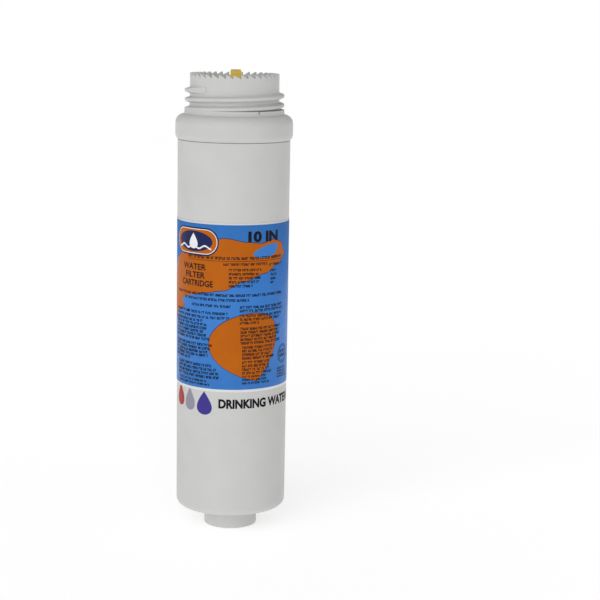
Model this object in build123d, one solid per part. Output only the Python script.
from build123d import *
import os
from math import cos, degrees, radians, sin, tan

# Quick-change water filter cartridge: a welded plastic cup and cap, with the filter stack inside.
# Millimetres. The origin is on the axis, on the underside of the boss. +Z runs up to the neck,
# and the key faces -Y.

# ---------------------------------------------------------------- driving dimensions: cup
CUP_R = 30.16             # outer radius at the foot of the cup
CUP_LENGTH = 203.0        # underside of the floor to the step under the collar
CUP_DRAFT_DEG = 0.088     # the cup widens a little towards its mouth
CUP_WALL = 2.6
CUP_CORNER_R = 3.65
INNER_CORNER_R = 1.5
BOSS_R = 14.5
BOSS_HEIGHT = 11.5        # foot of the boss to the underside of the cup's floor
BOSS_WALL = 2.4
BOSS_EDGE_R = 0.75
SPIGOT_WALL = 1.8
SPIGOT_HEIGHT = 8.0       # the part of the cup that stands inside the collar

# ---------------------------------------------------------------- driving dimensions: cap
COLLAR_STEP = 1.28        # how far the collar stands out from the cup
COLLAR_HEIGHT = 13.4      # lower edge of the collar to the top of the shoulder
COLLAR_ROUND_H = 2.8      # height of the rounded lower edge
SHOULDER_R = 4.75
ROOF_WALL = 1.8
SEAM_GAP = 0.3            # the open line between the cup's step and the collar
NECK_R = 24.05            # plain land above the thread
NECK_WALL = 3.05          # round the port plate
LAND_STEP = 0.5           # the sealing land in the neck is this much wider than the bore below it
LAND_CLEAR = 0.6          # top of the outlet socket to the foot of the sealing land
NECK_HEIGHT = 21.8        # top of the shoulder to the tips of the crown
NECK_ROOT_GROWTH = 0.25   # the neck is this much larger at its root
RIM_CHAMFER = 0.5
BASE_RING_H = 2.7
BASE_RING_STEP = 0.12     # the base ring stands this far out past the thread's crest
BASE_RING_EDGE_R = 0.4
STOP_NOTCH_W = 1.3        # slot in the base ring's upper edge
STOP_NOTCH_DEPTH = 1.2
STOP_NOTCH_H = 2.1
STOP_NOTCH_RISE = 0.7     # the slot runs this far above the ring, under the thread
STOP_NOTCH_AZ = 299.0

THREAD_PITCH = 5.0
THREAD_TURNS = 2.504
THREAD_START_RISE = 0.7   # the thread starts this far above the shoulder, inside the ring
THREAD_DEPTH = 2.8        # neck land to crest
THREAD_BASE = 3.5
THREAD_CREST = 1.5
THREAD_CREST_R = 0.6
THREAD_END_AZ = 228.0     # where the top end of the thread runs out
THREAD_END_STEP = 0.35    # height of the ridge where it ends
THREAD_BITE = 0.6         # how deep the ridge's root is sunk in the neck
THREAD_CLEAR = 0.4        # top of the thread to the plain land above it

CROWN_TEETH = 38
CROWN_DEPTH = 2.2
CROWN_FIRST_AZ = 268.5    # the first upright tooth face

# ---------------------------------------------------------------- driving dimensions: key
KEY_RISE = 2.85           # top of the key above the tips of the crown
KEY_START_AZ = 264.5
KEY_END_AZ = 278.4
KEY_TOP_R = 0.7
KEY_GAP = 0.06            # clearance between the key and the neck, all round
KEY_INSET = 0.35          # the key's curved faces stand this far inside the neck's own
KEY_TONGUE_W = 4.0
KEY_TONGUE_DEPTH = 1.3    # how deep the tongue's groove is cut in the bore
KEY_TONGUE_LENGTH = 4.6   # below the crown's gaps

# ---------------------------------------------------------------- driving dimensions: water ways
SOCKET_R = 6.35           # outlet socket
SOCKET_DEPTH = 12.0
SOCKET_WALL = 2.4
SOCKET_STAND = 5.0        # the socket stands this far above the deck
SOCKET_WEB = 2.0
WASHER_THICK = 1.6
WASHER_LEDGE = 0.4        # the washer's seat is this much smaller than the socket
OUTLET_R = 4.6
DECK_RISE = 9.6           # underside of the roof to the deck
DECK_WALL = 2.8
BARREL_WALL = 3.6
FLANGE_THICK = 3.0
INLET_HOLES = 12
INLET_HOLE_R = 1.9
DECK_RIBS = 6
DECK_RIB_W = 1.4
GUSSET_REACH = 3.0        # ribs that brace the socket where it stands above the deck
GUSSET_RISE = 2.0
NECK_SEAL_GROOVE = 1.9    # depth of the groove for the large O-ring
RISER_R = 6.35
RISER_WALL = 1.45
RISER_SOCKET_DEPTH = 8.0
RISER_SEAL_GROOVE = 1.7
RISER_HUB_WALL = 4.1

# ---------------------------------------------------------------- driving dimensions: filter stack
PLENUM_HEIGHT = 3.0       # space under the support plate
PLATE_THICK = 2.5
RIB_WIDTH = 1.6
RIB_HEIGHT = 4.0
PLATE_RIBS = 8
PERFORATION_R = 1.4
SCREEN_THICK = 0.4
FOAM_THICK = 8.0
COARSE_PAD_THICK = 5.0
FINE_PAD_THICK = 4.0
STRAINER_WALL = 1.6
STRAINER_CAGE_H = 6.6
STRAINER_GRIP_H = 5.0
STRAINER_SLOTS = 10
STRAINER_SLOT_W = 1.1
STRAINER_FLOOR = 1.2

# ---------------------------------------------------------------- driving dimensions: label
LABEL_FOOT = 69.6         # underside of the floor to the label's lower edge
LABEL_HEIGHT = 91.4
LABEL_THICK = 0.12
LABEL_ARC_DEG = 357.0

# ---------------------------------------------------------------- named clearances
DISC_GAP = 0.2            # rigid discs in the cup
PAD_GAP = 0.1             # soft discs and the bed in the cup
WELD_GAP = 0.05
BARREL_GAP = 0.15
RISER_GAP = 0.12
PRESS_GAP = 0.03
SEAL_GAP = 0.02
FILM_GAP = 0.03
SEAL_ROOM = 0.62          # half a seal groove's width over its depth
PAST = 1.0                # how far a cutter runs past a face, and a rib into a wall

# ---------------------------------------------------------------- derived sizes
STEP_Z = BOSS_HEIGHT + CUP_LENGTH
CUP_TOP_R = CUP_R + CUP_LENGTH * tan(radians(CUP_DRAFT_DEG))
BORE_R = CUP_R - CUP_WALL
INNER_FLOOR_Z = BOSS_HEIGHT + CUP_WALL
SPIGOT_R = BORE_R + SPIGOT_WALL
SPIGOT_TOP_Z = STEP_Z + SPIGOT_HEIGHT
COLLAR_R = CUP_TOP_R + COLLAR_STEP
COLLAR_EDGE_Z = STEP_Z + SEAM_GAP
SHOULDER_Z = COLLAR_EDGE_Z + COLLAR_HEIGHT
ROOF_Z = SHOULDER_Z - ROOF_WALL
RIM_Z = SHOULDER_Z + NECK_HEIGHT
GAP_FLOOR_Z = RIM_Z - CROWN_DEPTH
NECK_BORE_R = NECK_R - NECK_WALL
NECK_ROOT_R = NECK_R + NECK_ROOT_GROWTH
CREST_R = NECK_R + THREAD_DEPTH
BASE_RING_R = CREST_R + BASE_RING_STEP
BASE_RING_Z = SHOULDER_Z + BASE_RING_H
THREAD_START_Z = SHOULDER_Z + THREAD_START_RISE
THREAD_TOP_Z = THREAD_START_Z + THREAD_TURNS * THREAD_PITCH
LAND_Z = THREAD_TOP_Z + THREAD_BASE / 2 + THREAD_CLEAR
TOOTH_DEG = 360.0 / CROWN_TEETH
KEY_MIDDLE_AZ = (KEY_START_AZ + KEY_END_AZ) / 2

FLANGE_Z = ROOF_Z - FLANGE_THICK
DECK_Z = ROOF_Z + DECK_RISE
BARREL_R = NECK_BORE_R - BARREL_GAP
SOCKET_TOP_Z = DECK_Z + SOCKET_STAND
SOCKET_FLOOR_Z = SOCKET_TOP_Z - SOCKET_DEPTH
WASHER_TOP_Z = SOCKET_FLOOR_Z + WASHER_THICK
WASHER_SEAT_R = SOCKET_R - WASHER_LEDGE
LAND_FOOT_Z = SOCKET_TOP_Z + LAND_CLEAR
LAND_R = NECK_BORE_R + LAND_STEP
SOCKET_OUTER_R = SOCKET_R + SOCKET_WALL
RISER_STOP_Z = SOCKET_FLOOR_Z - SOCKET_WEB
RISER_HUB_R = RISER_R + RISER_HUB_WALL
RISER_HUB_Z = RISER_STOP_Z - RISER_SOCKET_DEPTH
RISER_SEAL_Z = RISER_STOP_Z - RISER_SOCKET_DEPTH / 2
NECK_SEAL_Z = ROOF_Z + DECK_RISE / 2
RISER_FOOT_Z = BOSS_WALL + STRAINER_CAGE_H
RISER_HOLE_R = RISER_R + RISER_GAP

SUPPORT_Z = INNER_FLOOR_Z + PLENUM_HEIGHT
DIFFUSER_TOP_Z = min(RISER_HUB_Z, FLANGE_Z - RIB_HEIGHT)
DISC_R = BORE_R - DISC_GAP
PAD_R = BORE_R - PAD_GAP


def at(radius, azimuth_deg, z):
    """Point at a radius and a compass angle round the axis."""
    angle = radians(azimuth_deg)
    return Vector(radius * cos(angle), radius * sin(angle), z)


def cup_radius(z):
    """Outer radius of the drafted cup at a height."""
    return CUP_R + (z - BOSS_HEIGHT) * tan(radians(CUP_DRAFT_DEG))


def turned(points):
    """Solid of revolution from a closed outline of (radius, height) points."""
    outline = Polyline(*[(r, 0, z) for r, z in points], close=True)
    return revolve(make_face(outline), Axis.Z)


def ring(outer_r, inner_r, low_z, high_z):
    """Plain ring between two radii and two heights."""
    return turned([(inner_r, low_z), (outer_r, low_z), (outer_r, high_z), (inner_r, high_z)])


def drum(radius, low_z, high_z):
    """Plain cylinder between two heights."""
    return Pos(0, 0, (low_z + high_z) / 2) * Cylinder(radius, high_z - low_z)


def spokes(count, width, inner_r, outer_r, low_z, high_z):
    """Radial ribs round the axis."""
    rib = Pos((inner_r + outer_r) / 2, 0, (low_z + high_z) / 2)
    rib = rib * Box(outer_r - inner_r, width, high_z - low_z)
    return [Rot(0, 0, 360 * i / count) * rib for i in range(count)]


def holes(count, pitch_r, hole_r, low_z, high_z, turn_deg=0.0):
    """Round cutters on a circle."""
    cutter = drum(hole_r, low_z, high_z)
    return [Pos(*at(pitch_r, turn_deg + 360 * i / count, 0)) * cutter for i in range(count)]


# ---------------------------------------------------------------- cup
def make_sump_body():
    """Drafted cup with a hollow blind boss below and a thinner spigot at its mouth."""
    outside = turned([
        (0, BOSS_HEIGHT),
        (CUP_R, BOSS_HEIGHT),
        (CUP_TOP_R, STEP_Z),
        (SPIGOT_R, STEP_Z),
        (SPIGOT_R, SPIGOT_TOP_Z),
        (0, SPIGOT_TOP_Z),
    ])
    foot_edge = outside.edges().filter_by(GeomType.CIRCLE).group_by(Axis.Z)[0]
    outside = fillet(foot_edge, CUP_CORNER_R)
    boss = drum(BOSS_R, 0, BOSS_HEIGHT + CUP_WALL / 2)
    boss = fillet(boss.edges().group_by(Axis.Z)[0], BOSS_EDGE_R)
    hollow = drum(BORE_R, INNER_FLOOR_Z, SPIGOT_TOP_Z + CUP_WALL)
    hollow = fillet(hollow.edges().group_by(Axis.Z)[0], INNER_CORNER_R)
    core = drum(BOSS_R - BOSS_WALL, BOSS_WALL, INNER_FLOOR_Z + CUP_WALL)
    return outside + boss - hollow - core


# ---------------------------------------------------------------- cap
def make_thread():
    """Coarse right-hand ridge that rises from the base ring and runs out flat at its top end."""
    start_az = THREAD_END_AZ - 360 * THREAD_TURNS
    path = Helix(THREAD_PITCH, THREAD_TURNS * THREAD_PITCH, NECK_R)
    path = Pos(0, 0, THREAD_START_Z) * Rot(0, 0, start_az) * path

    def section_at(place):
        point = path @ place
        outward = Vector(point.X, point.Y, 0).normalized()
        return Plane(origin=point, x_dir=outward, z_dir=path % place)

    half_base = THREAD_BASE / 2
    half_crest = THREAD_CREST / 2
    outline = [
        (-THREAD_BITE, -half_base),
        (0, -half_base),
        (THREAD_DEPTH, -half_crest),
        (THREAD_DEPTH, half_crest),
        (0, half_base),
        (-THREAD_BITE, half_base),
    ]
    section = make_face(Polyline(*outline, close=True))
    crest = section.vertices().group_by(Axis.X)[-1]
    section = fillet(crest, THREAD_CREST_R)
    ridge = sweep(section_at(0) * section, path=path, is_frenet=True)
    right_half = Pos(-THREAD_BITE, 0) * Rectangle(
        2 * THREAD_DEPTH + 2 * THREAD_BITE, THREAD_BASE, align=(Align.MIN, Align.MIN)
    )
    end = section_at(1)
    nose = revolve(end * (section & right_half), Axis(end.origin, end.x_dir))
    run_out = Box(
        2 * THREAD_DEPTH, 2 * CREST_R, THREAD_PITCH + THREAD_END_STEP,
        align=(Align.MIN, Align.CENTER, Align.MIN),
    )
    run_out = Pos(NECK_R + THREAD_END_STEP, 0, THREAD_TOP_Z - THREAD_PITCH / 2) * run_out
    run_out = Rot(0, 0, THREAD_END_AZ) * run_out
    return [ridge - run_out, nose - run_out]


def make_tooth_gap(upright_az):
    """Wedge cut from the rim: it slopes down over one pitch and ends at an upright face."""
    low_az = upright_az - TOOTH_DEG
    over = CROWN_DEPTH
    slices = []
    for radius in (NECK_BORE_R - over, NECK_R + over):
        corner_start = at(radius, low_az, RIM_Z)
        corner_low = at(radius, upright_az, GAP_FLOOR_Z)
        corner_high = at(radius, upright_az, RIM_Z + over)
        corner_back = at(radius, low_az, RIM_Z + over)
        outline = Polyline(corner_start, corner_low, corner_high, corner_back, close=True)
        slices.append(make_face(outline))
    return loft(slices, ruled=True)


def make_crown_cutter():
    """All the gaps of the saw-tooth crown."""
    first = make_tooth_gap(CROWN_FIRST_AZ)
    return [Rot(0, 0, i * TOOTH_DEG) * first for i in range(CROWN_TEETH)]


def make_key_groove():
    """Groove in the neck's sealing land for the key's tongue."""
    inner_r = LAND_R - KEY_TONGUE_DEPTH
    outer_r = LAND_R + KEY_TONGUE_DEPTH
    low_z = GAP_FLOOR_Z - KEY_TONGUE_LENGTH
    block = Box(outer_r - inner_r, KEY_TONGUE_W, RIM_Z + KEY_RISE - low_z)
    place = Pos((inner_r + outer_r) / 2, 0, (low_z + RIM_Z + KEY_RISE) / 2)
    return Rot(0, 0, KEY_MIDDLE_AZ) * place * block


def make_neck_cap():
    """Collar skirt, shoulder and threaded neck in one moulding."""
    skirt_bore_r = SPIGOT_R + WELD_GAP
    round_r = (COLLAR_STEP**2 + COLLAR_ROUND_H**2) / (2 * COLLAR_STEP)
    edge_r = COLLAR_R - COLLAR_STEP
    shoulder_in_r = COLLAR_R - SHOULDER_R
    walls = [
        Line((skirt_bore_r, SPIGOT_TOP_Z), (skirt_bore_r, COLLAR_EDGE_Z)),
        Line((skirt_bore_r, COLLAR_EDGE_Z), (edge_r, COLLAR_EDGE_Z)),
        RadiusArc((edge_r, COLLAR_EDGE_Z), (COLLAR_R, COLLAR_EDGE_Z + COLLAR_ROUND_H), -round_r),
        Line((COLLAR_R, COLLAR_EDGE_Z + COLLAR_ROUND_H), (COLLAR_R, SHOULDER_Z - SHOULDER_R)),
        RadiusArc((COLLAR_R, SHOULDER_Z - SHOULDER_R), (shoulder_in_r, SHOULDER_Z), -SHOULDER_R),
        Polyline(
            (shoulder_in_r, SHOULDER_Z),
            (BASE_RING_R, SHOULDER_Z),
            (BASE_RING_R, BASE_RING_Z),
            (NECK_ROOT_R, BASE_RING_Z),
            (NECK_R, LAND_Z),
            (NECK_R, RIM_Z),
            (LAND_R + RIM_CHAMFER, RIM_Z),
            (LAND_R, RIM_Z - RIM_CHAMFER),
            (LAND_R, LAND_FOOT_Z),
            (NECK_BORE_R, LAND_FOOT_Z),
            (NECK_BORE_R, ROOF_Z),
            (BORE_R, ROOF_Z),
            (BORE_R, SPIGOT_TOP_Z),
            (skirt_bore_r, SPIGOT_TOP_Z),
        ),
    ]
    profile = Plane.XZ * make_face(Curve() + walls)
    cap = revolve(profile, Axis.Z)
    circles = cap.edges().filter_by(GeomType.CIRCLE)
    ring_edge = circles.filter_by_position(Axis.Z, BASE_RING_Z - WELD_GAP, BASE_RING_Z + WELD_GAP)
    cap = fillet(ring_edge.sort_by(SortBy.RADIUS)[-1], BASE_RING_EDGE_R)
    for piece in make_thread():
        cap = cap + piece
    notch = Pos(BASE_RING_R, 0, BASE_RING_Z + STOP_NOTCH_RISE - STOP_NOTCH_H / 2)
    notch = notch * Box(2 * STOP_NOTCH_DEPTH, STOP_NOTCH_W, STOP_NOTCH_H)
    cap = cap - Rot(0, 0, STOP_NOTCH_AZ) * notch
    cap = cap - make_crown_cutter()
    return cap - make_key_groove()


# ---------------------------------------------------------------- key
def make_key_insert():
    """Key block that sits on two crown teeth, with a tongue down the groove in the bore."""
    outer_r = NECK_R - KEY_INSET
    inner_r = LAND_R + KEY_INSET
    top_z = RIM_Z + KEY_RISE
    full = ring(outer_r, inner_r, GAP_FLOOR_Z, top_z)
    far_left = at(2 * outer_r, KEY_START_AZ, 0)
    far_right = at(2 * outer_r, KEY_END_AZ, 0)
    sector = make_face(Polyline((0, 0), (far_left.X, far_left.Y), (far_right.X, far_right.Y), close=True))
    sector = Pos(0, 0, GAP_FLOOR_Z - CROWN_DEPTH) * extrude(sector, 2 * CROWN_DEPTH + KEY_RISE)
    block = full & sector
    top_edges = block.edges().group_by(Axis.Z)[-1]
    block = fillet(top_edges, KEY_TOP_R)
    teeth = ring(NECK_R + CROWN_DEPTH, NECK_BORE_R - CROWN_DEPTH, GAP_FLOOR_Z - CROWN_DEPTH, RIM_Z)
    teeth = teeth - make_crown_cutter()
    lifted = Pos(0, 0, KEY_GAP) * teeth
    side_gap_deg = degrees(KEY_GAP / NECK_R)
    block = block - lifted - Rot(0, 0, -side_gap_deg) * lifted
    tongue_out_r = LAND_R + KEY_TONGUE_DEPTH - KEY_GAP
    tongue_low_z = GAP_FLOOR_Z - KEY_TONGUE_LENGTH + KEY_GAP
    tongue_high_z = RIM_Z + KEY_RISE - KEY_TOP_R - KEY_GAP
    tongue = Box(tongue_out_r - inner_r, KEY_TONGUE_W - 2 * KEY_GAP, tongue_high_z - tongue_low_z)
    place = Pos((tongue_out_r + inner_r) / 2, 0, (tongue_low_z + tongue_high_z) / 2)
    return block + Rot(0, 0, KEY_MIDDLE_AZ) * place * tongue


# ---------------------------------------------------------------- port plate and its seals
def make_port_plate():
    """Plate held under the cap's roof, with the outlet socket in its middle."""
    barrel_in_r = BARREL_R - BARREL_WALL
    flange_r = BORE_R - DISC_GAP
    plate = turned([
        (barrel_in_r, FLANGE_Z),
        (flange_r, FLANGE_Z),
        (flange_r, ROOF_Z),
        (BARREL_R, ROOF_Z),
        (BARREL_R, DECK_Z),
        (0, DECK_Z),
        (0, DECK_Z - DECK_WALL),
        (barrel_in_r, DECK_Z - DECK_WALL),
    ])
    plate = plate + drum(SOCKET_OUTER_R, RISER_STOP_Z, SOCKET_TOP_Z)
    plate = plate + drum(RISER_HUB_R, RISER_HUB_Z, SOCKET_FLOOR_Z)
    root_r = SOCKET_OUTER_R - PAST
    tip_r = barrel_in_r + PAST
    gusset_r = SOCKET_OUTER_R + GUSSET_REACH
    gusset_z = DECK_Z + GUSSET_RISE
    plate = plate + spokes(DECK_RIBS, DECK_RIB_W, root_r, tip_r, RISER_STOP_Z, DECK_Z - PAST)
    plate = plate + spokes(DECK_RIBS, DECK_RIB_W, root_r, gusset_r, DECK_Z - PAST, gusset_z)
    plate = plate - drum(SOCKET_R, WASHER_TOP_Z, SOCKET_TOP_Z + PAST)
    plate = plate - drum(WASHER_SEAT_R, SOCKET_FLOOR_Z, WASHER_TOP_Z + PAST)
    plate = plate - drum(OUTLET_R, RISER_STOP_Z - PAST, SOCKET_FLOOR_Z + PAST)
    plate = plate - drum(RISER_HOLE_R, RISER_HUB_Z - PAST, RISER_STOP_Z)
    half = NECK_SEAL_GROOVE * SEAL_ROOM
    groove_r = BARREL_R - NECK_SEAL_GROOVE
    plate = plate - ring(BARREL_R + PAST, groove_r, NECK_SEAL_Z - half, NECK_SEAL_Z + half)
    half = RISER_SEAL_GROOVE * SEAL_ROOM
    groove_r = RISER_HOLE_R + RISER_SEAL_GROOVE
    plate = plate - ring(groove_r, RISER_R - PAST, RISER_SEAL_Z - half, RISER_SEAL_Z + half)
    hole_pitch_r = (SOCKET_OUTER_R + barrel_in_r) / 2
    turn = 180 / INLET_HOLES
    return plate - holes(INLET_HOLES, hole_pitch_r, INLET_HOLE_R, ROOF_Z, DECK_Z + PAST, turn)


def make_o_ring(inner_r, outer_r, z):
    """O-ring as it lies squeezed between two round walls."""
    middle_r = (inner_r + outer_r) / 2
    section_r = (outer_r - inner_r) / 2 - SEAL_GAP
    return Pos(0, 0, z) * Torus(middle_r, section_r)


def make_neck_seal():
    """Large O-ring between the port plate and the neck bore."""
    return make_o_ring(BARREL_R - NECK_SEAL_GROOVE, NECK_BORE_R, NECK_SEAL_Z)


def make_riser_seal():
    """Small O-ring round the top of the riser tube."""
    return make_o_ring(RISER_R, RISER_HOLE_R + RISER_SEAL_GROOVE, RISER_SEAL_Z)


def make_socket_washer():
    """Flat washer on the floor of the outlet socket."""
    return ring(WASHER_SEAT_R - PAD_GAP, OUTLET_R, SOCKET_FLOOR_Z, WASHER_TOP_Z - PRESS_GAP)


# ---------------------------------------------------------------- riser
def make_riser_tube():
    """Centre tube from the boss up to the port plate."""
    return ring(RISER_R, RISER_R - RISER_WALL, RISER_FOOT_Z, RISER_STOP_Z - PRESS_GAP)


def make_riser_strainer():
    """Slotted cage on the foot of the riser tube."""
    outer_r = RISER_R + PRESS_GAP + STRAINER_WALL
    cage = ring(outer_r, 0, BOSS_WALL, RISER_FOOT_Z + STRAINER_GRIP_H)
    grip_top_z = RISER_FOOT_Z + STRAINER_GRIP_H
    slot_low_z = BOSS_WALL + STRAINER_FLOOR
    slot_high_z = RISER_FOOT_Z - STRAINER_FLOOR
    bore_r = RISER_R - RISER_WALL
    cage = cage - drum(RISER_R + PRESS_GAP, RISER_FOOT_Z, grip_top_z + PAST)
    cage = cage - drum(bore_r, slot_low_z, RISER_FOOT_Z + PAST)
    root_r = bore_r - PAST
    tip_r = outer_r + PAST
    return cage - spokes(STRAINER_SLOTS, STRAINER_SLOT_W, root_r, tip_r, slot_low_z, slot_high_z)


# ---------------------------------------------------------------- filter stack
def make_perforated_disc(low_z, rib_low_z, rib_high_z, rib_inner_r):
    """Disc with three rings of holes and a set of radial ribs."""
    disc = ring(DISC_R, RISER_HOLE_R, low_z, low_z + PLATE_THICK)
    rib_outer_r = DISC_R - RIB_WIDTH
    disc = disc + spokes(PLATE_RIBS, RIB_WIDTH, rib_inner_r, rib_outer_r, rib_low_z, rib_high_z)
    first_r = RISER_HUB_R + 2 * PERFORATION_R
    last_r = DISC_R - 3 * PERFORATION_R
    for row in range(3):
        pitch_r = first_r + (last_r - first_r) * row / 2
        count = PLATE_RIBS * (row + 2)
        turn = 180 / count
        high_z = low_z + PLATE_THICK
        disc = disc - holes(count, pitch_r, PERFORATION_R, low_z - PAST, high_z + PAST, turn)
    return disc


def make_soft_disc(low_z, thickness):
    """Pad or bed that fills the cup round the riser tube."""
    return ring(PAD_R, RISER_HOLE_R, low_z, low_z + thickness)


def make_stack():
    """Every disc between the support plate and the top diffuser, from the bottom up."""
    stack = {}
    feet_r = BOSS_R + RIB_WIDTH
    stack["support_plate"] = make_perforated_disc(SUPPORT_Z, INNER_FLOOR_Z, SUPPORT_Z, feet_r)
    z = SUPPORT_Z + PLATE_THICK
    for name, thickness in (
        ("bottom_screen", SCREEN_THICK),
        ("coarse_bottom_pad", COARSE_PAD_THICK),
        ("fine_bottom_pad", FINE_PAD_THICK),
    ):
        stack[name] = make_soft_disc(z, thickness)
        z += thickness
    bed_low_z = z
    diffuser_z = DIFFUSER_TOP_Z - PLATE_THICK
    z = diffuser_z
    for name, thickness in (
        ("top_screen", SCREEN_THICK),
        ("expansion_pad", FOAM_THICK),
        ("coarse_top_pad", COARSE_PAD_THICK),
        ("fine_top_pad", FINE_PAD_THICK),
    ):
        z -= thickness
        stack[name] = make_soft_disc(z, thickness)
    stack["carbon_bed"] = make_soft_disc(bed_low_z, z - bed_low_z)
    ribs_r = RISER_HUB_R + RIB_WIDTH
    stack["top_diffuser"] = make_perforated_disc(diffuser_z, DIFFUSER_TOP_Z, FLANGE_Z, ribs_r)
    return stack


# ---------------------------------------------------------------- label
def make_label_film():
    """Printed film round the cup, with its seam at the back."""
    low_z = BOSS_HEIGHT + LABEL_FOOT
    high_z = low_z + LABEL_HEIGHT
    low_r = cup_radius(low_z) + FILM_GAP
    high_r = cup_radius(high_z) + FILM_GAP
    outline = Polyline(
        (low_r, 0, low_z),
        (low_r + LABEL_THICK, 0, low_z),
        (high_r + LABEL_THICK, 0, high_z),
        (high_r, 0, high_z),
        close=True,
    )
    film = revolve(make_face(outline), Axis.Z, revolution_arc=LABEL_ARC_DEG)
    seam_turn = 90 + (360 - LABEL_ARC_DEG) / 2
    return Rot(0, 0, seam_turn) * film


# ---------------------------------------------------------------- write the parts
os.makedirs("parts", exist_ok=True)
parts = {
    "sump_body": make_sump_body(),
    "neck_cap": make_neck_cap(),
    "key_insert": make_key_insert(),
    "label_film": make_label_film(),
    "port_plate": make_port_plate(),
    "neck_seal": make_neck_seal(),
    "socket_washer": make_socket_washer(),
    "riser_tube": make_riser_tube(),
    "riser_seal": make_riser_seal(),
    "riser_strainer": make_riser_strainer(),
}
parts.update(make_stack())

for name, solid in parts.items():
    export_step(solid, f"parts/{name}.step")
    box = solid.bounding_box()
    print(f"{name:18s} z {box.min.Z:8.2f} to {box.max.Z:8.2f}  volume {solid.volume:10.1f}")
